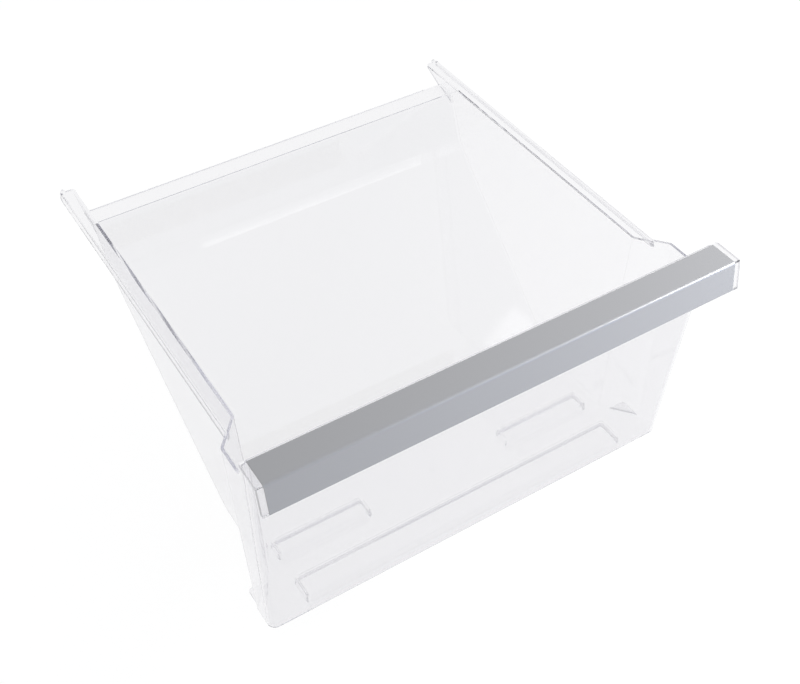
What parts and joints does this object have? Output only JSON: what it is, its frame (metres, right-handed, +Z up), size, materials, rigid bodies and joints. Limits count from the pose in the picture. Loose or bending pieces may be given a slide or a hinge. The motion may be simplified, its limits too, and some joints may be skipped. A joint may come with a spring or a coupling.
{
  "type": "fridge deli drawer",
  "caption": "Clear moulded fridge drawer with a sloped back, side slide rails, rear stop prongs and a grey-trimmed finger hood along the front.",
  "frame": {"origin": "middle of the whole object's box, on the underside of the floor", "axes": "+X to the right seen from the front, +Y to the back of the fridge, +Z up; the front faces -Y"},
  "size_m": [0.43, 0.4282, 0.241],
  "materials": {
    "clear_plastic": "clear gloss",
    "grey_trim": "satin"
  },
  "bodies": {
    "root": {"drawer_tub": "clear_plastic", "handle_trim": "grey_trim"}
  },
  "joints": []
}
